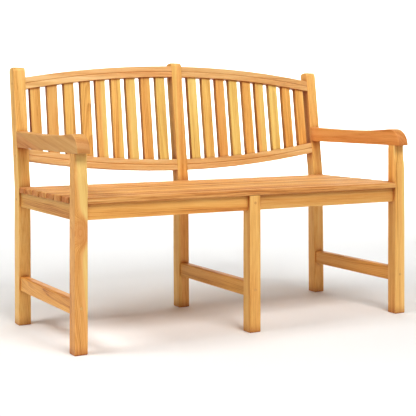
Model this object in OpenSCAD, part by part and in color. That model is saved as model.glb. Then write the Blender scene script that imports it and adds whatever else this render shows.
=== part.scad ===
// Garden bench with two back bays under one oval, made of solid boards that are
// mortised, tenoned and screwed together. Millimetres, +Z up, +Y towards the back.

/* [Overall] */
// Width over the outer faces of the legs
bench_w = 1240; // [960:10:1800]
// Depth at the floor, from the front of the legs to the back of the posts
foot_depth = 516; // [400:1:640]
// Height of the top of the seat
seat_h = 456; // [370:1:560]

/* [Legs and posts] */
// Width of a front leg, across the bench
leg_w = 41; // [34:1:55]
// Depth of a front leg, front to back
leg_d = 41; // [34:1:55]
// Width of a rear post, across the bench
post_w = 41; // [34:1:55]
// Depth of a rear post, front to back
post_d = 43; // [36:1:56]
// Radius of the two rounded edges on top of a post
post_round = 14; // [4:0.5:17]
// Angle by which the back leans
back_lean = 7.6; // [0:0.1:14]
// How far a post moves back between the floor and the seat
post_splay = 5; // [0:0.5:20]
// Depth of the hollow in the front of a front leg, under the arm
relief_d = 6; // [2:0.5:10]
// Length of the curve that leads into that hollow
relief_len = 62; // [40:1:76]
// Height above the seat where that curve starts
relief_up = 44; // [10:1:50]

/* [Back] */
// Height of an arched rail
rail_h = 39; // [32:1:50]
// Thickness of an arched rail, front to back
rail_t = 36; // [30:0.5:40]
// How far the rails stand back from the front of the posts
rail_recess = 1.5; // [0:0.5:3]
// Rise of each rail's arch between a side post and the middle of the bench
rail_rise = 48.5; // [20:0.5:70]
// Height of the lower rail's centre line above the seat, at mid-bench
low_rail_up = 57; // [40:1:100]
// Height of the oval, between the rails' centre lines at mid-bench
oval_h = 339; // [270:1:440]
// How far the middle post stands above the top rail
middle_post_up = 13.5; // [2:1:40]
// How far a side post stands above the top rail
side_post_up = 35; // [18:1:60]
// Width of the groove along the front of each rail
groove_w = 5; // [3:0.5:8]
// Depth of that groove
groove_d = 2.2; // [1:0.1:4]
// Width of a back slat
back_slat_w = 37; // [28:1:42]
// Thickness of a back slat
back_slat_t = 20; // [14:0.5:24]

/* [Seat] */
// Thickness of a seat slat
seat_slat_t = 18; // [15:0.5:26]
// Width of the front slat, which fits between the front legs
front_slat_w = 43; // [36:1:56]
// Gap between neighbouring seat slats
seat_gap = 8.5; // [3:0.1:10]
// Height of the aprons and of the seat bearer
apron_h = 48; // [38:1:70]
// Thickness of the aprons and of the seat bearer
apron_t = 22; // [18:1:26]
// How far the front aprons stand back from the front of the legs
front_apron_in = 12; // [2:0.5:16]
// How far the side aprons stand in from the outer face of the legs
side_apron_in = 7; // [2:0.5:14]
// How far the rear aprons stand back from the front of the posts
rear_apron_in = 12; // [2:0.5:16]

/* [Stretchers] */
// Height of the underside of a stretcher
stretcher_z = 112; // [60:1:200]
// Height of a stretcher
stretcher_h = 48; // [36:1:60]
// Width of a stretcher, across the bench
stretcher_w = 30; // [24:1:34]
// Size of the chamfer along the edges of a stretcher
stretcher_edge = 4; // [1:0.5:7]

/* [Arms] */
// Width of an arm
arm_w = 41; // [34:1:60]
// Height of the underside of an arm above the seat
arm_up = 130; // [124:1:200]
// Height of an arm at its nose, also the radius of the nose
arm_nose_h = 56.5; // [46:0.5:70]
// Height of an arm at the lowest point of its top
arm_dip_h = 48; // [38:0.5:56]
// Height of an arm where it meets the post
arm_rear_h = 53.5; // [42:0.5:70]
// How far the nose stands out in front of the leg
arm_over = 19; // [5:1:40]
// Distance from the front of the legs to the lowest point of the top
arm_dip_y = 235; // [150:1:300]

/* [Joints] */
// Thickness of a tenon
tenon_t = 12; // [8:0.5:14]
// Length of a tenon, in a leg or post of the usual width
tenon_l = 16; // [10:1:17]
// Width of the shoulders above and below a tenon
shoulder = 7; // [4:0.5:10]
// Side of the square tenon on top of a front leg
arm_tenon_w = 20; // [12:1:26]
// Length of that tenon
arm_tenon_l = 25; // [12:1:32]
// Width of the shoulders round a back slat's tenon
slat_shoulder = 3.5; // [2:0.5:5]
// Length of a back slat's tenon
slat_tenon_l = 12; // [6:1:20]
// Play between a tenon and its mortise, on each face
play = 0.2; // [0.1:0.05:0.5]
// Spare depth at the bottom of a mortise
end_play = 1; // [0.5:0.5:2]
// Wood left between two tenons that cross inside a leg or post
tenon_gap = 3; // [2:0.5:5]

/* [Fasteners] */
// Diameter of a screw's shank
screw_d = 4.5; // [3:0.5:6]
// Diameter of a screw's head
head_d = 8; // [6:0.5:9]
// Height of a screw's head
head_h = 3; // [2:0.5:4]
// Length of a seat screw's shank
seat_screw_l = 35; // [20:1:45]
// Distance from the end of a front apron to its seat screw
seat_screw_in = 60; // [30:1:120]
// Length of a frame screw's shank
frame_screw_l = 56; // [44:1:60]
// Diameter of the wooden plug over a screw
plug_d = 9; // [9:0.5:12]
// Thickness of that plug
plug_t = 5; // [3:0.5:6]

/* [Hidden] */
wood_a = "#e0a868";
wood_b = "#d99a5a";
wood_c = "#e8b878";
steel = "#b8bcc0";
plug_wood = "#b87840";

bay_slats = 9; // back slats in each bay
full_slats = 7; // seat slats that run the full width
// Widths of the gaps along a bay from the middle post outwards, as proportions
gap_pattern = [26.5, 23, 22, 20, 23, 19.5, 24.5, 24.5, 24, 17];
fine = 1440; // fragments on the large arcs
medium = 240; // fragments on noses and post tops
small = 32; // fragments on screws and plugs
usual_w = 41; // width of leg or post that the tenons' length is given for
root = 3; // how far a tenon's block starts inside its own board
cut = 1; // how far a cut runs past the face it starts from

half_w = bench_w / 2;
bay_in = post_w / 2; // inner end of a bay, from the middle of the bench
bay_out = half_w - post_w; // outer end of a bay
post_foot_y = foot_depth - post_d; // front of the posts at the floor
post_seat_y = post_foot_y + post_splay; // front of the posts at the seat
slat_z = seat_h - seat_slat_t; // underside of the seat slats
apron_z = slat_z - apron_h; // underside of the aprons
arm_z = seat_h + arm_up; // underside of the arms
side_in = half_w - side_apron_in - apron_t; // inner face of a side apron
rear_y = post_seat_y + rear_apron_in; // front face of the rear aprons
leg_mid_x = half_w - leg_w / 2;
front_tenon_l = tenon_l * leg_w / usual_w; // of the aprons, into the front legs
rear_tenon_l = tenon_l * post_w / usual_w; // of the aprons and rails, into the posts
// Ends of the side aprons' and bearer's tenons, clear of the front and rear aprons' own
seat_tenon_y0 = front_apron_in + (apron_t + tenon_t) / 2 + tenon_gap;
seat_tenon_y1 = rear_y + (apron_t - tenon_t) / 2 - tenon_gap;
plug_play = 0.1; // between a plug and its bore
seat_back_gap = 1; // between the rearmost seat slat and the posts
slat_run = post_seat_y - seat_back_gap - front_slat_w;
full_slat_w = slat_run / full_slats - seat_gap;

low_mid = low_rail_up / cos(back_lean); // centre of the lower rail along the lean
top_mid = low_mid + oval_h; // centre of the top rail along the lean
arch_r = (pow(bay_out, 2) + pow(rail_rise, 2)) / (2 * rail_rise);
middle_len = top_mid + rail_h / 2 + middle_post_up; // of the middle post above the seat
side_len = top_mid + rail_h / 2 - rail_rise + side_post_up;
back_slat_in = rail_recess + (rail_t - back_slat_t) / 2;
rail_mid_y = rail_recess + rail_t / 2;

// The frame of reference is centred on the whole bench, front to back
rearmost = post_seat_y + (middle_len - post_round) * sin(back_lean)
    + (post_d - post_round) * cos(back_lean) + post_round;
origin_y = (rearmost - arm_over) / 2;

function arch_drop(x) = arch_r - sqrt(arch_r * arch_r - x * x);
function sum_to(v, n) = n == 0 ? 0 : v[n - 1] + sum_to(v, n - 1);
gap_scale = (bay_out - bay_in - bay_slats * back_slat_w) / sum_to(gap_pattern, len(gap_pattern));
function bay_x(i) = bay_in + gap_scale * sum_to(gap_pattern, i + 1) + (i + 0.5) * back_slat_w;
function back_slat_x(i) = i < bay_slats ? -bay_x(bay_slats - 1 - i) : bay_x(i - bay_slats);
function seat_slat_y(i) = front_slat_w + seat_gap + i * (full_slat_w + seat_gap);
// Front face of a post at height z, below the seat
function post_front(z) = post_foot_y + post_splay * z / seat_h;

SIDES = ["left", "middle", "right"];
BACK_SLATS = [for (i = [1:2 * bay_slats]) str("back_slat_", i)];
SEAT_SLATS = [for (i = [1:full_slats]) str("seat_slat_", i)];

// ---- Placing and shared shapes ----

module placed(c) color(c) translate([0, -origin_y, 0]) children();

module block(low, high) translate(low) cube(high - low);

// Extrudes a side view, drawn as Y and Z, between two places across the bench
module across(x0, x1) translate([x0, 0, 0]) rotate([90, 0, 90]) linear_extrude(x1 - x0) children();

// Stands on the front of the posts at the seat: X across, Y into the back, Z up the lean
module on_back() translate([0, post_seat_y, seat_h]) rotate([-back_lean, 0, 0]) children();

// Extrudes a front view of the back between two depths
module back_plate(y0, y1) translate([0, y1, 0]) rotate([90, 0, 0]) linear_extrude(y1 - y0) children();

module mirrored(side) scale([side, 1, 1]) children();

// A board along the depth of the bench, with all four long edges chamfered
module chamfered_board(x0, x1, y0, y1, z0, z1, edge)
    translate([0, y1, 0]) rotate([90, 0, 0]) linear_extrude(y1 - y0) polygon([
        [x0 + edge, z0], [x1 - edge, z0], [x1, z0 + edge], [x1, z1 - edge],
        [x1 - edge, z1], [x0 + edge, z1], [x0, z1 - edge], [x0, z0 + edge]
    ]);

// ---- Posts ----

module post_outline(length) {
    polygon([
        [post_foot_y, 0], [post_foot_y + post_d, 0],
        [post_seat_y + post_d, seat_h], [post_seat_y, seat_h]
    ]);
    translate([post_seat_y, seat_h]) rotate(-back_lean) {
        square([post_d, length - post_round]);
        translate([post_round, 0]) square([post_d - 2 * post_round, length]);
        for (y = [post_round, post_d - post_round])
            translate([y, length - post_round]) circle(post_round, $fn = medium);
    }
}

// Everything behind the front faces of the posts, which shoulders are cut to
module behind_posts() across(-bench_w, bench_w) {
    polygon([
        [post_foot_y, -cut], [post_foot_y + foot_depth, -cut],
        [post_seat_y + foot_depth, seat_h], [post_seat_y, seat_h], [post_foot_y, 0]
    ]);
    translate([post_seat_y, seat_h]) rotate(-back_lean) square([foot_depth, middle_len]);
}

// ---- Tenons, which are also the mortises when they are given some play ----

// Of a board that runs across the bench and ends at x, into the leg or post beyond it
module cross_tenon(x, way, y_mid, length, p = 0) {
    near = x - way * root;
    far = x + way * (length + end_play * sign(p));
    half = tenon_t / 2 + p;
    block([min(near, far), y_mid - half, apron_z + shoulder - p],
          [max(near, far), y_mid + half, slat_z - shoulder + p]);
}

// Of a board that runs front to back, from the tip of one to the tip of the other
module depth_tenons(x_mid, y0, y1, z0, z1, p = 0) {
    half = tenon_t / 2 + p;
    block([x_mid - half, y0 - end_play * sign(p), z0 + shoulder - p],
          [x_mid + half, y1 + end_play * sign(p), z1 - shoulder + p]);
}

// Of the aprons and the bearer, one set for each leg and post
module front_cross_tenons(p = 0) for (way = [-1, 1]) {
    y = front_apron_in + apron_t / 2;
    cross_tenon(way * (half_w - leg_w), way, y, front_tenon_l, p);
    cross_tenon(way * leg_w / 2, -way, y, front_tenon_l, p);
}

module rear_cross_tenons(p = 0) for (way = [-1, 1]) {
    y = rear_y + apron_t / 2;
    cross_tenon(way * bay_out, way, y, rear_tenon_l, p);
    cross_tenon(way * bay_in, -way, y, rear_tenon_l, p);
}

module bearer_tenons(x, p = 0) depth_tenons(x, seat_tenon_y0, seat_tenon_y1, apron_z, slat_z, p);

module stretcher_tenon_pair(x, p = 0)
    depth_tenons(x, leg_d - tenon_l, post_front(stretcher_z) + tenon_l,
        stretcher_z, stretcher_z + stretcher_h, p);

module seat_depth_tenons(p = 0)
    for (x = [-side_in - apron_t / 2, 0, side_in + apron_t / 2]) bearer_tenons(x, p);

module stretcher_tenons(p = 0)
    for (x = [-leg_mid_x, 0, leg_mid_x]) stretcher_tenon_pair(x, p);

// Of the two arched rails, at one end of a bay
module rail_tenon(mid, x, way, p = 0) {
    far = x + way * (rear_tenon_l + end_play * sign(p));
    near = x - way * root;
    half = rail_h / 2 - shoulder + p;
    on_back() block([min(far, near), rail_mid_y - tenon_t / 2 - p, mid - half],
                    [max(far, near), rail_mid_y + tenon_t / 2 + p, mid + half]);
}

module rail_tenons(p = 0) for (side = [-1, 1]) {
    drop = arch_drop(bay_out);
    rail_tenon(top_mid, side * bay_in, -side, p);
    rail_tenon(low_mid, side * bay_in, -side, p);
    rail_tenon(top_mid - drop, side * bay_out, side, p);
    rail_tenon(low_mid + drop, side * bay_out, side, p);
}

module arm_rear_tenons(p = 0) for (side = [-1, 1]) {
    x = side * (half_w - arm_w / 2);
    y = post_seat_y + (arm_up + arm_rear_h / 2) * tan(back_lean);
    block([x - tenon_t / 2 - p, y - post_d / 2, arm_z + shoulder - p],
          [x + tenon_t / 2 + p, y + tenon_l + end_play * sign(p), arm_z + arm_dip_h - shoulder + p]);
}

module arm_leg_tenons(p = 0) for (side = [-1, 1]) {
    half = arm_tenon_w / 2 + p;
    y = (leg_d + relief_d) / 2;
    block([side * leg_mid_x - half, y - half, arm_z - root],
          [side * leg_mid_x + half, y + half, arm_z + arm_tenon_l + end_play * sign(p)]);
}

// ---- Screws, plugs and the bores for both, each drawn down from the surface ----

module screw(length) {
    translate([0, 0, -plug_t - head_h]) cylinder(d = head_d, h = head_h, $fn = small);
    translate([0, 0, -plug_t - head_h - length]) cylinder(d = screw_d, h = length + cut, $fn = small);
}

module plug() translate([0, 0, -plug_t]) cylinder(d = plug_d, h = plug_t, $fn = small);

module screw_bore(length) {
    sunk = plug_t + head_h;
    deep = length + end_play;
    translate([0, 0, -sunk]) cylinder(d = plug_d + plug_play, h = sunk + root, $fn = small);
    translate([0, 0, -sunk - deep]) cylinder(d = screw_d + play, h = deep + cut, $fn = small);
}

// Through the seat slats into the aprons and the bearer
module at_seat_screws() {
    for (side = [-1, 1], x = [leg_w / 2 + seat_screw_in, half_w - leg_w - seat_screw_in])
        translate([side * x, front_apron_in + apron_t / 2, seat_h]) children();
    for (i = [0:full_slats - 1], x = [-side_in - apron_t / 2, 0, side_in + apron_t / 2])
        translate([x, seat_slat_y(i) + full_slat_w / 2, seat_h]) children();
}

// Through the side posts into the rails and the rear aprons
module at_side_screws() for (side = [-1, 1]) {
    for (z = [top_mid - arch_drop(bay_out), low_mid + arch_drop(bay_out)])
        on_back() translate([side * half_w, rail_mid_y, z]) rotate([0, side * 90, 0]) children();
    translate([side * half_w, rear_y + apron_t / 2, apron_z + apron_h / 2])
        rotate([0, side * 90, 0]) children();
}

// Through the legs and posts into the stretchers, and through the middle leg into the bearer
module at_depth_screws() {
    z = stretcher_z + stretcher_h / 2;
    for (x = [-leg_mid_x, 0, leg_mid_x]) {
        translate([x, 0, z]) rotate([90, 0, 0]) children();
        translate([x, post_front(z) + post_d, z]) rotate([-90, 0, 0]) children();
    }
    translate([0, 0, apron_z + apron_h / 2]) rotate([90, 0, 0]) children();
}

// Through the posts into the arms, square to the lean
module at_arm_screws() for (side = [-1, 1])
    on_back() translate([side * (half_w - arm_w / 2), post_d, (arm_up + arm_dip_h / 2) / cos(back_lean)])
        rotate([-90, 0, 0]) children();

module at_frame_screws() {
    at_side_screws() children();
    at_depth_screws() children();
    at_arm_screws() children();
}

module seat_bores() at_seat_screws() screw_bore(seat_screw_l);

module frame_bores() at_frame_screws() screw_bore(frame_screw_l);

// ---- Legs and posts ----

// The hollow under the arm: two tangent arcs and a straight run
module leg_relief_outline() {
    r = (pow(relief_len, 2) + pow(relief_d, 2)) / (4 * relief_d);
    z = seat_h + relief_up;
    difference() {
        translate([-cut, z]) square([relief_d / 2 + cut, relief_len / 2]);
        translate([r, z]) circle(r, $fn = fine);
    }
    intersection() {
        translate([-cut, z + relief_len / 2]) square([relief_d + cut, relief_len / 2]);
        translate([relief_d - r, z + relief_len]) circle(r, $fn = fine);
    }
    translate([-cut, z + relief_len]) square([relief_d + cut, arm_z]);
}

module front_leg(side) placed(wood_c) difference() {
    union() {
        difference() {
            block([side * leg_mid_x - leg_w / 2, 0, 0], [side * leg_mid_x + leg_w / 2, leg_d, arm_z]);
            across(-bench_w, bench_w) leg_relief_outline();
        }
        intersection() {
            arm_leg_tenons();
            block([side * leg_mid_x - leg_w / 2, 0, 0], [side * leg_mid_x + leg_w / 2, leg_d, 2 * arm_z]);
        }
    }
    front_cross_tenons(play);
    seat_depth_tenons(play);
    stretcher_tenons(play);
    frame_bores();
}

module front_leg_middle() placed(wood_c) difference() {
    block([-leg_w / 2, 0, 0], [leg_w / 2, leg_d, slat_z]);
    front_cross_tenons(play);
    seat_depth_tenons(play);
    stretcher_tenons(play);
    frame_bores();
}

module rear_post(x_mid, length) placed(wood_a) difference() {
    across(x_mid - post_w / 2, x_mid + post_w / 2) post_outline(length);
    rear_cross_tenons(play);
    seat_depth_tenons(play);
    stretcher_tenons(play);
    rail_tenons(play);
    arm_rear_tenons(play);
    frame_bores();
}

// ---- Back ----

// Front views: the ring of a rail, and the oval space inside both rails
module rail_ring(mid, way) translate([0, mid - way * arch_r]) difference() {
    circle(arch_r + rail_h / 2, $fn = fine);
    circle(arch_r - rail_h / 2, $fn = fine);
}

module oval_outline(grow) intersection() {
    translate([0, top_mid - arch_r]) circle(arch_r - rail_h / 2 + grow, $fn = fine);
    translate([0, low_mid + arch_r]) circle(arch_r - rail_h / 2 + grow, $fn = fine);
}

module slat_outline(i, w, grow) intersection() {
    translate([back_slat_x(i) - w / 2, 0]) square([w, middle_len]);
    oval_outline(grow);
}

module slat_tenons(i, p = 0) {
    t = back_slat_t / 2 - slat_shoulder + p;
    on_back() back_plate(rail_mid_y - t, rail_mid_y + t)
        slat_outline(i, back_slat_w - 2 * slat_shoulder + 2 * p, slat_tenon_l + end_play * sign(p));
}

module rail_groove(mid, way) on_back() translate([0, rail_recess, mid - way * arch_r])
    rotate([90, 0, 0]) rotate_extrude($fn = fine) translate([arch_r, 0])
        polygon([
            [-groove_w / 2, 0], [0, -groove_d], [groove_w / 2, 0],
            [groove_w / 2, cut], [-groove_w / 2, cut]
        ]);

module arched_rail(side, mid, way) placed(wood_b) difference() {
    union() {
        on_back() back_plate(rail_recess, rail_recess + rail_t) intersection() {
            rail_ring(mid, way);
            translate([side > 0 ? bay_in : -bay_out, mid - rail_rise - rail_h])
                square([bay_out - bay_in, 2 * (rail_rise + rail_h)]);
        }
        rail_tenon(mid, side * bay_in, -side);
        rail_tenon(mid - way * arch_drop(bay_out), side * bay_out, side);
    }
    rail_groove(mid, way);
    for (i = [0:bay_slats - 1]) slat_tenons(i + (side > 0 ? bay_slats : 0), play);
    frame_bores();
}

module back_slat(i) placed(i % 2 == 0 ? wood_a : wood_c) {
    on_back() back_plate(back_slat_in, back_slat_in + back_slat_t) slat_outline(i, back_slat_w, 0);
    slat_tenons(i);
}

// ---- Seat ----

module front_slat() placed(wood_b) difference() {
    block([-half_w + leg_w + play, 0, slat_z], [half_w - leg_w - play, front_slat_w, seat_h]);
    seat_bores();
}

module full_slat(i) placed(i % 2 == 0 ? wood_a : wood_b) difference() {
    block([-half_w, seat_slat_y(i), slat_z], [half_w, seat_slat_y(i) + full_slat_w, seat_h]);
    seat_bores();
}

module front_apron(side) placed(wood_b) mirrored(side) difference() {
    union() {
        block([leg_w / 2, front_apron_in, apron_z], [half_w - leg_w, front_apron_in + apron_t, slat_z]);
        cross_tenon(half_w - leg_w, 1, front_apron_in + apron_t / 2, front_tenon_l);
        cross_tenon(leg_w / 2, -1, front_apron_in + apron_t / 2, front_tenon_l);
    }
    seat_bores();
}

module rear_apron(side) placed(wood_b) mirrored(side) difference() {
    union() {
        block([bay_in, rear_y, apron_z], [bay_out, rear_y + apron_t, slat_z]);
        cross_tenon(bay_out, 1, rear_y + apron_t / 2, rear_tenon_l);
        cross_tenon(bay_in, -1, rear_y + apron_t / 2, rear_tenon_l);
    }
    frame_bores();
}

// A side apron or the middle bearer, with its rear shoulders cut to the post
module seat_bearer(x_mid) placed(wood_b) difference() {
    union() {
        difference() {
            block([x_mid - apron_t / 2, leg_d, apron_z], [x_mid + apron_t / 2, foot_depth, slat_z]);
            behind_posts();
        }
        bearer_tenons(x_mid);
    }
    seat_bores();
    frame_bores();
}

module stretcher(x_mid) placed(wood_a) difference() {
    union() {
        difference() {
            chamfered_board(x_mid - stretcher_w / 2, x_mid + stretcher_w / 2, leg_d, foot_depth,
                stretcher_z, stretcher_z + stretcher_h, stretcher_edge);
            behind_posts();
        }
        stretcher_tenon_pair(x_mid);
    }
    frame_bores();
}

// ---- Arms ----

// Side view: a quarter-round nose, then a top that dips and rises again to the post
module arm_outline() translate([0, arm_z]) {
    nose_y = arm_nose_h - arm_over;
    end_y = post_seat_y + (arm_up + arm_rear_h) * tan(back_lean);
    front_r = pow(arm_dip_y - nose_y, 2) / (2 * (arm_nose_h - arm_dip_h));
    rear_r = pow(end_y - arm_dip_y, 2) / (2 * (arm_rear_h - arm_dip_h));
    intersection() {
        translate([nose_y, 0]) circle(arm_nose_h, $fn = medium);
        translate([-arm_over, 0]) square([arm_nose_h, arm_nose_h]);
    }
    difference() {
        translate([nose_y, 0]) square([arm_dip_y - nose_y, arm_nose_h]);
        translate([arm_dip_y, arm_dip_h + front_r]) circle(front_r, $fn = fine);
    }
    difference() {
        translate([arm_dip_y, 0]) square([foot_depth - arm_dip_y + post_d, arm_nose_h]);
        translate([arm_dip_y, arm_dip_h + rear_r]) circle(rear_r, $fn = fine);
    }
}

module arm(side) placed(wood_a) mirrored(side) difference() {
    union() {
        difference() {
            across(half_w - arm_w, half_w) arm_outline();
            behind_posts();
        }
        intersection() {
            arm_rear_tenons();
            across(0, bench_w) translate([0, arm_z]) square([2 * foot_depth, arm_dip_h]);
        }
    }
    arm_leg_tenons(play);
    frame_bores();
}

// ---- Fasteners ----

module seat_screws() placed(steel) at_seat_screws() screw(seat_screw_l);

module seat_plugs() placed(plug_wood) at_seat_screws() plug();

module frame_screws() placed(steel) at_frame_screws() screw(frame_screw_l);

module frame_plugs() placed(plug_wood) at_frame_screws() plug();

// ---- The bench ----

front_leg(-1);  // front_leg_left
front_leg_middle();
front_leg(1);  // front_leg_right
rear_post(-half_w + post_w / 2, side_len);  // rear_post_left
rear_post(0, middle_len);  // rear_post_middle
rear_post(half_w - post_w / 2, side_len);  // rear_post_right
arched_rail(-1, top_mid, 1);  // top_rail_left
arched_rail(1, top_mid, 1);  // top_rail_right
arched_rail(-1, low_mid, -1);  // bottom_rail_left
arched_rail(1, low_mid, -1);  // bottom_rail_right
for (i = [0:len(BACK_SLATS) - 1]) back_slat(i);
front_slat();  // seat_slat_front
for (i = [0:len(SEAT_SLATS) - 1]) full_slat(i);
front_apron(-1);  // front_apron_left
front_apron(1);  // front_apron_right
rear_apron(-1);  // rear_apron_left
rear_apron(1);  // rear_apron_right
seat_bearer(-side_in - apron_t / 2);  // side_apron_left
seat_bearer(side_in + apron_t / 2);  // side_apron_right
seat_bearer(0);  // seat_bearer_middle
stretcher(-leg_mid_x);  // stretcher_left
stretcher(0);  // stretcher_middle
stretcher(leg_mid_x);  // stretcher_right
arm(-1);  // arm_left
arm(1);  // arm_right
seat_screws();
seat_plugs();
frame_screws();
frame_plugs();
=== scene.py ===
import math
import random

import bmesh
import bpy
import numpy as np
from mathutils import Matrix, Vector
from mathutils.bvhtree import BVHTree


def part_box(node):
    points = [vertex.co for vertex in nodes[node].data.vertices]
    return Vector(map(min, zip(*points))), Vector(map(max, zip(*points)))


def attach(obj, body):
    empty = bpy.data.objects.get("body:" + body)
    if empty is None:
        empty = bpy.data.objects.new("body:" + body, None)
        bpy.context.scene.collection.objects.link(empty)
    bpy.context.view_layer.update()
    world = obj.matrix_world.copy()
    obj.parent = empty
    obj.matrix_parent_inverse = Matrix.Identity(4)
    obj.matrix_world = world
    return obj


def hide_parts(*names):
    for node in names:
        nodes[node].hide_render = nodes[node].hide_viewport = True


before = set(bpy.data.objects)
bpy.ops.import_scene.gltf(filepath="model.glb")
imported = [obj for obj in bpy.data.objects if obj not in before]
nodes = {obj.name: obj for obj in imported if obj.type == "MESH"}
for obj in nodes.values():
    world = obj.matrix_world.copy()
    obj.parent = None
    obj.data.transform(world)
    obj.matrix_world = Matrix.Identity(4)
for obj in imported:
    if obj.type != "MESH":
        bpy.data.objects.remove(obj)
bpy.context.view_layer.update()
print("frame loaded:", len(nodes), "pieces")


mm = 0.001

# the back leans, and a post has a share of that lean over its whole length
backLean = {"angle": 7.6, "postShare": 0.6}


def leaning(angle):
    turn = math.radians(angle)
    return (0, math.sin(turn), math.cos(turn)), (0, math.cos(turn), -math.sin(turn))


upBack, intoBack = leaning(backLean["angle"])
upPost, intoPost = leaning(backLean["angle"] * backLean["postShare"])

# grain, across and deep are the board's own directions, edge is how far its open corners are
# rounded (m), slot is its finish
boardKinds = {
    "leg": {
        "grain": (0, 0, 1), "across": (1, 0, 0), "deep": (0, 1, 0), "edge": 0.0024, "slot": "leg_wood",
        "nodes": ["front_leg_left", "front_leg_middle", "front_leg_right"],
    },
    "post": {
        "grain": upPost, "across": (1, 0, 0), "deep": intoPost, "edge": 0.0022, "slot": "leg_wood",
        "nodes": ["rear_post_left", "rear_post_middle", "rear_post_right"],
    },
    "rail": {
        "grain": (1, 0, 0), "across": upBack, "deep": intoBack, "edge": 0.0018, "slot": "rail_wood",
        "nodes": ["top_rail_left", "top_rail_right", "bottom_rail_left", "bottom_rail_right"],
    },
    "slat": {
        "grain": upBack, "across": (1, 0, 0), "deep": intoBack, "edge": 0.0018, "slot": "slat_wood",
        "nodes": ["back_slat_%d" % number for number in range(1, 19)],
    },
    "seat": {
        "grain": (1, 0, 0), "across": (0, 1, 0), "deep": (0, 0, 1), "edge": 0.0034, "slot": "seat_wood",
        "nodes": ["seat_slat_front"] + ["seat_slat_%d" % number for number in range(1, 8)],
    },
    "apron": {
        "grain": (1, 0, 0), "across": (0, 0, 1), "deep": (0, 1, 0), "edge": 0.0015, "slot": "apron_wood",
        "nodes": ["front_apron_left", "front_apron_right", "rear_apron_left", "rear_apron_right"],
    },
    "bearer": {
        "grain": (0, 1, 0), "across": (0, 0, 1), "deep": (1, 0, 0), "edge": 0.0015, "slot": "apron_wood",
        "nodes": ["side_apron_left", "side_apron_right", "seat_bearer_middle"],
    },
    "stretcher": {
        "grain": (0, 1, 0), "across": (0, 0, 1), "deep": (1, 0, 0), "edge": 0.0010, "slot": "apron_wood",
        "nodes": ["stretcher_left", "stretcher_middle", "stretcher_right"],
    },
    "arm": {
        "grain": (0, 1, 0), "across": (1, 0, 0), "deep": (0, 0, 1), "edge": 0.0030, "slot": "arm_wood",
        "nodes": ["arm_left", "arm_right"],
    },
}

# hue is 0 for straw to 1 for orange, shade a share lighter or darker, figure how strong the bands are,
# pith its place across and deep (mm), slope its drift across and deep along the board, ring the ring
# width (mm), sap where the pale wood starts across the front (mm), heart its distance from the pith
# instead (mm), pale how much of it shows, knot its place along (m), across and deep (mm), its length and
# width (mm), how far it pushes the rings (mm) and how dark it is
boardDefault = {"figure": 1.0, "sap": None, "heart": None, "pale": 0.8, "knot": None}

# what a board isn't given is drawn between these, seed in metres along endless wood
boardSpread = {
    "hue": (0.45, 0.75), "shade": (-0.03, 0.03), "pithAcross": (45, 95), "pithDeep": (25, 85),
    "slope": (-0.015, 0.015), "ring": (2.6, 4.2), "seed": (0, 8),
}

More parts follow.
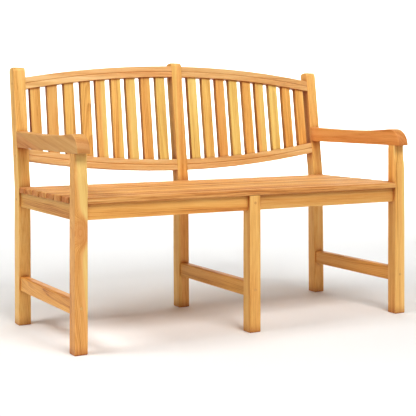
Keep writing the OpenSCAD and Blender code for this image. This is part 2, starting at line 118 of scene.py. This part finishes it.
boardLooks = {
    "front_leg_left": {"hue": 0.8, "shade": -0.03, "pith": (-46, 18), "slope": (-0.09, 0.0), "sap": 1,
                       "pale": 0.75, "knot": (0.052, 5, -22, 40, 26, -36, 0.0)},
    "front_leg_middle": {"hue": 0.45, "shade": 0.03, "pith": (60, -90), "slope": (-0.01, 0.02)},
    "front_leg_right": {"hue": 0.62, "shade": 0.03, "pith": (-60, 70), "sap": 14},
    "rear_post_left": {"hue": 0.5, "shade": 0.03, "pith": (80, 60), "sap": -9, "pale": 0.7},
    "rear_post_middle": {"hue": 0.58, "shade": 0.03, "pith": (70, -60), "sap": -12, "pale": 0.7},
    "rear_post_right": {"hue": 0.58, "shade": 0.1, "pith": (90, 60), "sap": -13, "pale": 0.6},
    "top_rail_left": {"hue": 0.7, "shade": 0.06, "pith": (90, -30)},
    "top_rail_right": {"hue": 0.72, "shade": 0.02, "pith": (80, -50)},
    "bottom_rail_left": {"hue": 0.66, "shade": 0.05, "pith": (-90, -30)},
    "bottom_rail_right": {"hue": 0.68, "shade": 0.05, "pith": (-70, -60)},
    "back_slat_1": {"hue": 0.66, "shade": 0.06, "pith": (60, 30)},
    "back_slat_2": {"hue": 0.95, "pith": (-70, 40)},
    "back_slat_3": {"hue": 0.36, "shade": 0.05, "pith": (80, -50)},
    "back_slat_4": {"hue": 0.66, "shade": 0.05, "pith": (10, 60), "slope": (0.04, 0.03)},
    "back_slat_5": {"hue": 0.8, "shade": 0.05, "pith": (-60, 20), "sap": 1},
    "back_slat_6": {"hue": 0.5, "shade": 0.1, "pith": (-50, 40), "sap": 6},
    "back_slat_7": {"hue": 0.5, "shade": 0.03, "pith": (-60, 50), "sap": -9},
    "back_slat_8": {"hue": 0.88, "shade": 0.05, "pith": (-60, 60)},
    "back_slat_9": {"hue": 0.15, "shade": 0.02, "pith": (70, -40)},
    "back_slat_10": {"hue": 0.02, "shade": 0.05, "pith": (50, 50)},
    "back_slat_11": {"hue": 0.5, "shade": 0.06, "pith": (-60, 50), "knot": (-0.01, 16, -10, 6, 3, 3, 0.75)},
    "back_slat_12": {"hue": 1.0, "shade": 0.05, "pith": (60, -60)},
    "back_slat_13": {"hue": 0.12, "shade": 0.04, "pith": (-60, -40)},
    "back_slat_14": {"hue": 0.7, "shade": 0.1, "pith": (-50, 40)},
    "back_slat_15": {"hue": 0.6, "shade": 0.06, "pith": (-60, 60), "sap": -6},
    "back_slat_16": {"hue": 0.0, "shade": 0.05, "pith": (-80, 30)},
    "back_slat_17": {"hue": 0.56, "shade": 0.16, "pith": (-60, -40)},
    "back_slat_18": {"hue": 0.7, "shade": 0.15, "pith": (70, 40)},
    "seat_slat_front": {"hue": 0.55, "shade": 0.0, "pith": (60, -50)},
    "seat_slat_1": {"hue": 0.8, "shade": -0.07},
    "seat_slat_2": {"hue": 0.45, "shade": 0.04},
    "seat_slat_3": {"hue": 0.85, "shade": -0.08},
    "seat_slat_4": {"hue": 0.5, "shade": 0.03},
    "seat_slat_5": {"hue": 0.75, "shade": -0.06},
    "seat_slat_6": {"hue": 0.55, "shade": 0.03},
    "seat_slat_7": {"hue": 0.8, "shade": -0.02},
    "front_apron_left": {"hue": 0.8, "shade": -0.03, "pith": (60, -30)},
    # the right front apron's hue is its own tone; its darker shade is painted shade for the shadow under
    # the seat's front slat
    "front_apron_right": {"hue": 0.95, "shade": -0.14, "pith": (-60, -40)},
    "side_apron_left": {"hue": 0.7, "shade": -0.15},
    "stretcher_left": {"hue": 0.62, "shade": 0.02, "pith": (14, 40), "slope": (0.05, 0.02)},
    "stretcher_middle": {"hue": 0.6, "shade": -0.07},
    "arm_left": {"hue": 1.0, "shade": -0.2, "pith": (-20, -66), "slope": (0.0, 0.2), "heart": 36,
                 "pale": 0.4},
    "arm_right": {"hue": 1.0, "shade": -0.06, "pith": (-50, -50)},
}


def lookOf(name):
    dice = random.Random(name)

    def draw(key):
        return dice.uniform(*boardSpread[key])

    look = dict(boardDefault)
    look["hue"] = draw("hue")
    look["shade"] = draw("shade")
    look["pith"] = (dice.choice((-1, 1)) * draw("pithAcross"), dice.choice((-1, 1)) * draw("pithDeep"))
    look["slope"] = (draw("slope"), draw("slope"))
    look["ring"] = draw("ring")
    look["seed"] = draw("seed")
    look.update(boardLooks.get(name, {}))
    return look


# soft edges on the open corners, crisp lines where boards meet
edgeWork = {
    "weld": 1e-5,  # m, corners nearer than this are one
    "flat": 0.15,  # degrees, faces that meet flatter than this are one
    "corner": 30,  # degrees, an open edge that turns more than this is rounded
    "crisp": 34,  # degrees, an edge that turns more than this is shaded as a line
    "facets": 3,  # across a rounded edge
    "joinGap": 0.0007,  # m, nearer than this to another board, a place is in a joint
    "tries": (0.08, 0.25, 0.42, 0.58, 0.75, 0.92),  # places along an edge
    "joinTries": 3,  # so many of them in a joint leave the edge crisp
}
owners, allVerts, allFaces = [], [], []
for name, node in nodes.items():
    start = len(allVerts)
    allVerts.extend(vert.co.copy() for vert in node.data.vertices)
    for face in node.data.polygons:
        allFaces.append([start + corner for corner in face.vertices])
        owners.append(name)
neighbours = BVHTree.FromPolygons(allVerts, allFaces)


def inJoint(edge, name):
    start, end = (vert.co for vert in edge.verts)
    near = 0
    for share in edgeWork["tries"]:
        hits = neighbours.find_nearest_range(start.lerp(end, share), edgeWork["joinGap"])
        near += any(owners[hit[2]] != name for hit in hits)
    return near >= edgeWork["joinTries"]


def roundable(edge, name):
    if len(edge.link_faces) != 2 or edge.calc_face_angle_signed() <= math.radians(edgeWork["corner"]):
        return False
    return not inJoint(edge, name)


def softened(name, width):
    bm = bmesh.new()
    bm.from_mesh(nodes[name].data)
    bmesh.ops.remove_doubles(bm, verts=bm.verts, dist=edgeWork["weld"])
    bmesh.ops.dissolve_limit(bm, angle_limit=math.radians(edgeWork["flat"]), verts=bm.verts, edges=bm.edges,
                             use_dissolve_boundaries=False, delimit={"NORMAL"})
    openEdges = [edge for edge in bm.edges if roundable(edge, name)]
    if openEdges:
        bmesh.ops.bevel(bm, geom=openEdges, offset=width, offset_type="OFFSET", segments=edgeWork["facets"],
                        profile=0.5, affect="EDGES", clamp_overlap=True, loop_slide=True, material=-1)
    for face in bm.faces:
        face.smooth = True
    crisp = math.radians(edgeWork["crisp"])
    for edge in bm.edges:
        edge.smooth = len(edge.link_faces) == 2 and abs(edge.calc_face_angle_signed()) < crisp
    mesh = bpy.data.meshes.new(name + "_wood")
    bm.to_mesh(mesh)
    bm.free()
    piece = bpy.data.objects.new(name + "_wood", mesh)
    bpy.context.scene.collection.objects.link(piece)
    piece.modifiers.new("flats", "WEIGHTED_NORMAL").keep_sharp = True
    graph = bpy.context.evaluated_depsgraph_get()
    shown = piece.evaluated_get(graph)
    piece.data = bpy.data.meshes.new_from_object(shown, preserve_all_data_layers=True, depsgraph=graph)
    piece.modifiers.clear()
    return piece


def setAttribute(mesh, title, kind, domain, values):
    layer = mesh.attributes.new(title, kind, domain)
    field = "vector" if kind == "FLOAT_VECTOR" else "value"
    layer.data.foreach_set(field, np.asarray(values, np.float32).ravel())


def setPerBoard(mesh, title, values):
    setAttribute(mesh, title, "FLOAT_VECTOR", "POINT", [values] * len(mesh.vertices))


noKnot = (5, 0, 0, 30, 30, 0, 0)  # metres off the end of any board
noSap = 9.0  # m from the pith, outside any board
endFrom = 0.5  # a face this square to the grain starts to show end grain


# every point of a board knows its place from the pith and from the knot
def grainOf(piece, name, axes, look):
    mesh = piece.data
    low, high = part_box(name)
    spots = np.zeros(len(mesh.vertices) * 3, np.float32)
    mesh.vertices.foreach_get("co", spots)
    centre = np.array((low + high) / 2)
    board = (spots.reshape(-1, 3) - centre) @ np.array(axes, float).T  # along, across, deep
    pithAcross, pithDeep = look["pith"]
    pith = board.copy()
    pith[:, 0] += look["seed"]
    pith[:, 1] -= pithAcross * mm + board[:, 0] * look["slope"][0]
    pith[:, 2] -= pithDeep * mm + board[:, 0] * look["slope"][1]
    along, across, deep, length, width, push, dark = look["knot"] or noKnot
    knot = (board - np.array((along, across * mm, deep * mm))) / (np.array((length, width, width)) * mm)
    sap = noSap
    if look["heart"]:
        sap = look["heart"] * mm
    elif look["sap"] is not None:
        front = board[:, 2].min()
        sap = math.hypot((look["sap"] - pithAcross) * mm, front - pithDeep * mm)
    setAttribute(mesh, "pith", "FLOAT_VECTOR", "POINT", pith)
    setAttribute(mesh, "knot", "FLOAT_VECTOR", "POINT", knot)
    setPerBoard(mesh, "tone", (look["hue"], look["shade"], look["figure"]))
    setPerBoard(mesh, "growth", (sap, look["ring"] * mm, look["seed"]))
    setPerBoard(mesh, "core", (push * mm, dark, look["pale"]))
    grain = Vector(axes[0])
    ends = []
    for face in mesh.polygons:
        square = abs(face.normal.dot(grain))
        ends.extend([max(0.0, square - endFrom) / (1 - endFrom)] * face.loop_total)
    setAttribute(mesh, "endGrain", "FLOAT", "CORNER", ends)


# a screen colour as the shader's own, with full cover
def paint(colour):
    parts = [part / 255 for part in colour]
    return (*(part / 12.92 if part <= 0.04045 else ((part + 0.055) / 1.055) ** 2.4 for part in parts), 1)


class Wire:
    def __init__(self, graph, socket):
        self.graph, self.socket = graph, socket

    def math(self, operation, *others, flip=False):
        values = (*others, self) if flip else (self, *others)
        return self.graph.add("ShaderNodeMath", {"operation": operation}, *values)

    def __add__(self, other):
        return self.math("ADD", other)

    def __radd__(self, other):
        return self.math("ADD", other, flip=True)

    def __sub__(self, other):
        return self.math("SUBTRACT", other)

    def __rsub__(self, other):
        return self.math("SUBTRACT", other, flip=True)

    def __mul__(self, other):
        return self.math("MULTIPLY", other)

    def __rmul__(self, other):
        return self.math("MULTIPLY", other, flip=True)

    def __truediv__(self, other):
        return self.math("DIVIDE", other)

    def __rtruediv__(self, other):
        return self.math("DIVIDE", other, flip=True)


class Finish:
    def __init__(self, title):
        self.material = bpy.data.materials.new(title)
        self.material.use_nodes = True
        self.tree = self.material.node_tree
        self.tree.nodes.clear()
        self.shader = self.tree.nodes.new("ShaderNodeBsdfPrincipled")
        output = self.tree.nodes.new("ShaderNodeOutputMaterial")
        self.tree.links.new(self.shader.outputs[0], output.inputs[0])

    def add(self, kind, settings, *values, out=0, named=None):
        node = self.tree.nodes.new(kind)
        for key, value in settings.items():
            if key == "stops":
                ramp = node.color_ramp.elements
                while len(ramp) < len(value):
                    ramp.new(0.5)
                for element, (place, colour) in zip(ramp, value):
                    element.position = place
                    element.color = paint(colour)
            else:
                setattr(node, key, value)
        pairs = list(enumerate(values)) + list((named or {}).items())
        for key, value in pairs:
            if isinstance(value, Wire):
                self.tree.links.new(value.socket, node.inputs[key])
            elif value is not None:
                node.inputs[key].default_value = value
        return Wire(self, node.outputs[out])

    def feed(self, socket, value):
        if isinstance(value, Wire):
            self.tree.links.new(value.socket, self.shader.inputs[socket])
        else:
            self.shader.inputs[socket].default_value = value

    def attribute(self, title, out=1):
        return self.add("ShaderNodeAttribute", {"attribute_name": title}, out=out)

    def split(self, vector):
        node = self.tree.nodes.new("ShaderNodeSeparateXYZ")
        self.tree.links.new(vector.socket, node.inputs[0])
        return [Wire(self, socket) for socket in node.outputs]

    def join(self, x, y, z):
        return self.add("ShaderNodeCombineXYZ", {}, x, y, z)

    def noise(self, vector, detail=2.0, roughness=0.5, scale=1.0):
        return self.add("ShaderNodeTexNoise", {"noise_dimensions": "3D"},
                        named={"Vector": vector, "Scale": scale, "Detail": detail, "Roughness": roughness})

    def stretch(self, vector, scale):
        return self.add("ShaderNodeVectorMath", {"operation": "MULTIPLY"}, vector, scale)

    def step(self, value, low, high, toLow=0.0, toHigh=1.0):
        return self.add("ShaderNodeMapRange", {"interpolation_type": "SMOOTHSTEP"},
                        value, low, high, toLow, toHigh)

    def ramp(self, value, stops):
        return self.add("ShaderNodeValToRGB", {"stops": stops}, value)

    def mix(self, factor, under, over, blend="MIX"):
        return self.add("ShaderNodeMix", {"data_type": "RGBA", "blend_type": blend}, out=2,
                        named={0: factor, 6: under, 7: over})


# solid oiled hardwood
woodTones = {
    "straw": [
        (0.0, (252, 222, 148)), (0.45, (243, 201, 118)), (0.75, (222, 168, 88)), (1.0, (186, 122, 58)),
    ],
    "orange": [
        (0.0, (248, 196, 128)), (0.45, (236, 170, 96)), (0.75, (210, 134, 66)), (1.0, (160, 86, 38)),
    ],
    "sap": (250, 218, 140),
    "sapDark": (226, 170, 84),
    "knot": (138, 74, 38),
    "halo": (206, 128, 70),
    "end": (214, 172, 140),
    # the colour of the painted shade multiplied into corners, joints and recesses
    "paintedShade": (176, 106, 46),
}
# marks along the grain: how fine they are along and across it, their detail and their roughness
woodMarks = {
    "wander": ((1.7, 7, 7), 2.0, 0.5),
    "ripple": ((16, 45, 45), 2.0, 0.5),
    "fibre": ((9, 380, 380), 3.0, 0.6),
    "hair": ((34, 2400, 2400), 1.0, 0.5),
    "pore": ((55, 1700, 1700), 1.0, 0.5),
    "cloud": ((2.6, 10, 10), 2.0, 0.5),
}
# marks that follow the rings: how fine they are out from the pith and along, their shift, the rest as above
ringMarks = {
    "uneven": (70, 0.3, 0.0, 1.0, 0.5),
    "bands": (46, 0.7, 0.0, 3.0, 0.62),
    "warmth": (22, 0.5, 3.7, 1.0, 0.5),
}
ringBend = {"wander": 0.022, "ripple": 0.0022, "uneven": 0.006}  # m that the rings stray
# where a mark starts and where it is full, and its two strengths there if they aren't none and all
woodSteps = {
    "late": (0.2, 0.9), "lateEnd": (0.93, 1.0, 1.0, 0.0), "pores": (0.63, 0.74), "sap": (-0.0012, 0.0022),
    # the last entry sets where the painted shade in corners and joints starts and where it is full
    "halo": (1.6, 0.5), "knot": (1.1, 0.5), "paintedShade": (0.25, 0.9, 0.85, 0.0),
}
# how far each mark darkens the wood, then how much it does to the colour, the gloss and the relief
woodDepth = {
    "all": 0.36, "bands": 1.5, "late": 0.22, "fibre": 0.8, "hair": 0.2, "cloud": 0.35, "pores": 0.14,
}
woodShare = {"warmth": 0.8, "cloud": 0.3, "sapDark": 0.9, "halo": 12, "end": 0.55}
woodRough = {"fibre": 0.16, "pores": 0.12, "end": 0.12}
woodRelief = {"hair": 0.35, "fibre": 0.5, "late": 0.25, "pores": 0.7, "strength": 0.35, "height": 0.00035}
woodGloss = 0.42
# painted shade: how far the darkening of corners and joints reaches
paintedShadeReach = 0.05  # m, how far a corner darkens


def solidWood(title, banding=1.0, streaks=1.0, rough=0.46, cast=(1.0, 1.0, 1.0)):
    wood = Finish(title)
    spot = wood.attribute("pith")
    along, across, deep = wood.split(spot)
    hue, shade, figure = wood.split(wood.attribute("tone"))
    sapFrom, ringWidth, seed = wood.split(wood.attribute("growth"))
    knotPush, knotDark, paleShare = wood.split(wood.attribute("core"))
    knotFar = wood.add("ShaderNodeVectorMath", {"operation": "LENGTH"}, wood.attribute("knot"), out=1)
    end = wood.attribute("endGrain", out=2)

    def mark(name):
        fineness, detail, roughness = woodMarks[name]
        return wood.noise(wood.stretch(spot, fineness), detail, roughness)

    def ringMark(name):
        fineOut, fineAlong, shift, detail, roughness = ringMarks[name]
        return wood.noise(wood.join(radius * fineOut, along * fineAlong, seed + shift), detail, roughness)

    # rings: distance from the pith, wandering slowly along the board and pushed aside by a knot
    push = (0 - knotFar * knotFar).math("EXPONENT") * knotPush
    radius = (across * across + deep * deep).math("SQRT")
    for name in ("wander", "ripple"):
        radius = radius + (mark(name) - 0.5) * ringBend[name]
    radius = radius + push
    ring = ((radius + ringMark("uneven") * ringBend["uneven"]) / ringWidth).math("FRACT")
    late = wood.step(ring, *woodSteps["late"]) * wood.step(ring, *woodSteps["lateEnd"])
    bands, warmth = ringMark("bands") - 0.5, ringMark("warmth") - 0.5
    fibre, hair, cloud = mark("fibre"), mark("hair"), mark("cloud") - 0.5
    pores = wood.step(mark("pore"), *woodSteps["pores"])
    depth = woodDepth["all"] + bands * (woodDepth["bands"] * banding) * figure
    depth = depth + late * (woodDepth["late"] * banding) * figure
    depth = depth + (fibre - 0.5) * (woodDepth["fibre"] * streaks) + (hair - 0.5) * woodDepth["hair"]
    depth = depth + cloud * woodDepth["cloud"] + pores * woodDepth["pores"]

    # heartwood between straw and orange, pale sapwood outside it, then the knot, the ends, and painted
    # shade that darkens the corners and joints
    straw, orange = wood.ramp(depth, woodTones["straw"]), wood.ramp(depth, woodTones["orange"])
    colour = wood.mix(hue + warmth * woodShare["warmth"] + cloud * woodShare["cloud"], straw, orange)
    pale = wood.mix(depth * woodShare["sapDark"], paint(woodTones["sap"]), paint(woodTones["sapDark"]))
    colour = wood.mix(wood.step(radius - sapFrom, *woodSteps["sap"]) * paleShare, colour, pale)
    halo = wood.step(knotFar, *woodSteps["halo"]) * knotPush.math("ABSOLUTE") * woodShare["halo"]
    colour = wood.mix(halo, colour, paint(woodTones["halo"]))
    dark = wood.step(knotFar, *woodSteps["knot"]) * knotDark
    colour = wood.mix(dark, colour, paint(woodTones["knot"]))
    colour = wood.mix(end * woodShare["end"], colour, paint(woodTones["end"]), "MULTIPLY")
    # painted shade: ambient occlusion darkens the wood in corners, joints and recesses, where shade falls
    paintedShade = wood.add("ShaderNodeAmbientOcclusion", {"samples": 8}, out=1, named={"Distance": paintedShadeReach})
    corner = wood.step(paintedShade, *woodSteps["paintedShade"])
    colour = wood.mix(corner, colour, paint(woodTones["paintedShade"]), "MULTIPLY")
    colour = wood.stretch(colour, cast)
    colour = wood.add("ShaderNodeVectorMath", {"operation": "SCALE"}, colour, named={"Scale": 1 + shade})
    wood.feed("Base Color", colour)

    roughness = rough + (fibre - 0.5) * woodRough["fibre"] + pores * woodRough["pores"]
    wood.feed("Roughness", roughness + end * woodRough["end"])
    height = hair * woodRelief["hair"] + fibre * woodRelief["fibre"] + late * woodRelief["late"]
    relief = {"Strength": woodRelief["strength"], "Distance": woodRelief["height"],
              "Height": height - pores * woodRelief["pores"]}
    wood.feed("Normal", wood.add("ShaderNodeBump", {}, named=relief))
    wood.feed("Specular IOR Level", woodGloss)
    return wood.material


# banding and streaks are how strong the figure is, cast tints a board lot's red, green and blue
woodFinishes = {
    "leg_wood": {"title": "legWood"},
    "rail_wood": {"title": "railWood", "banding": 0.8, "streaks": 1.2, "cast": (0.95, 1.06, 1.42)},
    "slat_wood": {"title": "slatWood", "cast": (1.0, 1.08, 1.08)},
    "seat_wood": {"title": "seatWood", "banding": 1.3, "streaks": 1.4, "rough": 0.6,
                  "cast": (0.9, 0.85, 0.92)},
    "apron_wood": {"title": "apronWood", "cast": (1.0, 0.98, 0.86)},
    "arm_wood": {"title": "armWood", "banding": 0.9, "cast": (1.0, 0.94, 0.98)},
    "plug_wood": {"title": "plugWood", "banding": 0.6, "streaks": 0.8},
}
slotWood = {slot: solidWood(**finish) for slot, finish in woodFinishes.items()}
print("wood finishes made:", len(slotWood))


def finishWood(piece, name, slot):
    piece.data.materials.clear()
    piece.data.materials.append(slotWood[slot])
    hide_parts(name)
    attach(piece, "root")


pieces = 0
for board in boardKinds.values():
    for name in board["nodes"]:
        piece = softened(name, board["edge"])
        grainOf(piece, name, (board["grain"], board["across"], board["deep"]), lookOf(name))
        finishWood(piece, name, board["slot"])
        pieces += 1
print("boards softened and grained:", pieces)


steelLook = {
    "colour": (168, 170, 174), "haze": (120, 122, 126), "hazeShare": 0.5, "rough": 0.34, "turned": 0.2,
}


def turnedSteel():
    steel = Finish("screwSteel")
    spot = steel.add("ShaderNodeTexCoord", {}, out=3)  # the object's own place
    haze = steel.noise(spot, 3.0, 0.6, 90.0)
    turn = steel.noise(steel.stretch(spot, (900, 900, 900)), 2.0)
    share = haze * steelLook["hazeShare"]
    steel.feed("Base Color", steel.mix(share, paint(steelLook["colour"]), paint(steelLook["haze"])))
    steel.feed("Metallic", 1.0)
    steel.feed("Roughness", steelLook["rough"] + (turn - 0.5) * steelLook["turned"])
    return steel.material


screwSteel = turnedSteel()
for name in ("seat_screws", "frame_screws"):
    nodes[name].data.materials.clear()
    nodes[name].data.materials.append(screwSteel)

plugLook = {"hue": 0.9, "shade": -0.16, "figure": 0.7}
plugEdge = 0.0003
plugAxes = {
    "seat_plugs": ((1, 0, 0), (0, 1, 0), (0, 0, 1)),
    "frame_plugs": ((0, 0, 1), (0, 1, 0), (1, 0, 0)),
}
for name, axes in plugAxes.items():
    piece = softened(name, plugEdge)
    grainOf(piece, name, axes, dict(lookOf(name), **plugLook))
    finishWood(piece, name, "plug_wood")
print("plugs and screws finished")


# a round room whose floor curves up into its wall, sizes in metres
studio = {
    "colour": (246, 246, 245), "rough": 0.9, "gloss": 0.1, "room": 9, "cove": 2, "wall": 4, "glow": 0.05,
}


def paleFloor():
    bm = bmesh.new()
    flat = studio["room"] - studio["cove"]
    middle, rim = bm.verts.new((0, 0, 0)), bm.verts.new((flat, 0, 0))
    bm.edges.new((middle, rim))
    cove = bmesh.ops.spin(bm, geom=[rim], cent=(flat, 0, studio["cove"]), axis=(0, -1, 0),
                          angle=math.radians(90), steps=14)
    top = [part for part in cove["geom_last"] if isinstance(part, bmesh.types.BMVert)]
    wall = bmesh.ops.extrude_vert_indiv(bm, verts=top)
    bmesh.ops.translate(bm, vec=(0, 0, studio["wall"]), verts=wall["verts"])
    bmesh.ops.spin(bm, geom=bm.verts[:] + bm.edges[:], cent=(0, 0, 0), axis=(0, 0, 1), steps=96,
                   angle=math.radians(360), use_merge=True)
    bmesh.ops.remove_doubles(bm, verts=bm.verts, dist=1e-4)
    bmesh.ops.recalc_face_normals(bm, faces=bm.faces)
    for face in bm.faces:
        face.smooth = True
    mesh = bpy.data.meshes.new("paleFloor")
    bm.to_mesh(mesh)
    bm.free()
    floor = bpy.data.objects.new("paleFloor", mesh)
    bpy.context.scene.collection.objects.link(floor)
    finish = Finish("floorPaint")
    finish.feed("Base Color", paint(studio["colour"]))
    finish.feed("Roughness", studio["rough"])
    finish.feed("Specular IOR Level", studio["gloss"])
    mesh.materials.append(finish.material)


# where each soft box stands and what it points at (m), its two sides (m), its power and its spread
softboxes = {
    "keyLight": ((-0.2, -3.2, 4.2), (0, 0, 0.5), (2.4, 1.8), 139, 180),
    "fillLight": ((2.8, -2.4, 3.8), (0, 0, 0.5), (2.4, 2.0), 12, 180),
    "topLight": ((0.0, 0.2, 3.8), (0, 0, 0), (3.4, 3.0), 4, 180),
    "sideLight": ((-2.6, 0.1, 3.4), (-0.4, 0.2, 0.4), (1.3, 1.3), 64, 180),
    "backLight": ((3.0, 3.4, 5.0), (4.6, 7.6, 0.9), (5.0, 2.0), 140, 80),
    "rearLight": ((2.3, 4.3, 4.0), (2.4, 4.5, 0), (5.0, 3.0), 118, 120),
}


def softbox(title, place, aim, sides, power, spread):
    lamp = bpy.data.lights.new(title, "AREA")
    lamp.shape = "RECTANGLE"
    lamp.size, lamp.size_y = sides
    lamp.energy = power
    lamp.spread = math.radians(spread)
    lamp.color = (1, 1, 1)
    holder = bpy.data.objects.new(title, lamp)
    holder.location = place
    holder.rotation_euler = (Vector(aim) - Vector(place)).to_track_quat("-Z", "Y").to_euler()
    bpy.context.scene.collection.objects.link(holder)


paleFloor()
for title, lamp in softboxes.items():
    softbox(title, *lamp)
world = bpy.data.worlds.new("studioAir")
world.use_nodes = True
air = world.node_tree.nodes["Background"].inputs
air[0].default_value = (1, 1, 1, 1)
air[1].default_value = studio["glow"]
bpy.context.scene.world = world
bpy.context.scene.view_settings.view_transform = "Standard"
bpy.context.scene.view_settings.look = "Medium High Contrast"

# the camera stands level, its place in metres, its turn to the right in degrees
view = {"place": (-1.7555, -3.0104, 0.7276), "turn": 30.02, "lens": 87.83, "shift": (0.0012, -0.248)}
camera = bpy.data.objects.new("camera", bpy.data.cameras.new("camera"))
camera.location = view["place"]
camera.rotation_euler = (math.radians(90), 0, -math.radians(view["turn"]))
camera.data.lens = view["lens"]
camera.data.sensor_width = 36
camera.data.shift_x, camera.data.shift_y = view["shift"]
bpy.context.scene.collection.objects.link(camera)
bpy.context.scene.camera = camera
print("studio and camera set")
